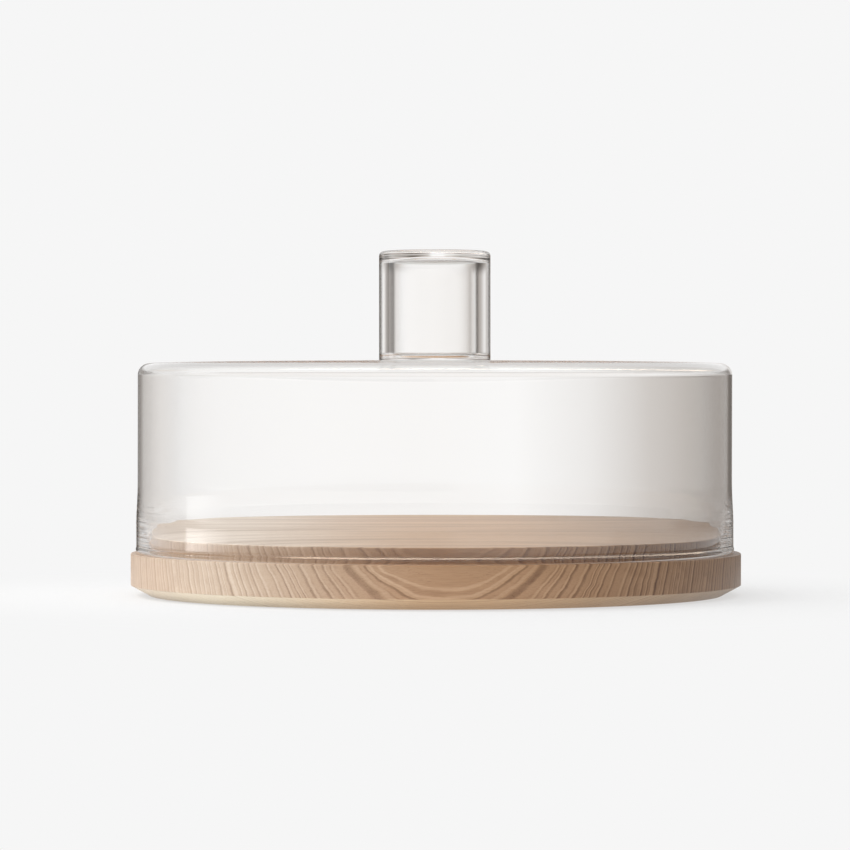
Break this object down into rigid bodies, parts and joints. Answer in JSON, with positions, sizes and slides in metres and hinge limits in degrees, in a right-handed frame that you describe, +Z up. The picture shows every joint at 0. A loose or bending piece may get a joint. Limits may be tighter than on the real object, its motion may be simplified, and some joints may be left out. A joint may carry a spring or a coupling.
{
  "type": "cheese dome",
  "caption": "Round ash board with a rebated rim and a clear glass dome with a hollow cylindrical handle that lifts straight off it.",
  "frame": {"origin": "on the turning axis at the bottom face of the board", "axes": "+Z up along the axis that the board and the dome share; +X along the grain of the board"},
  "size_m": [0.32, 0.32, 0.18],
  "materials": {
    "ash": "oiled satin",
    "clear_glass": "polished"
  },
  "bodies": {
    "board": {"board": "ash"},
    "dome": {"glass_drum": "clear_glass", "handle": "clear_glass"}
  },
  "joints": [
    {"name": "dome_lift", "type": "slide", "parent": "board", "child": "dome", "axis": [0, 0, 1], "range_m": [0, 0.15]}
  ]
}
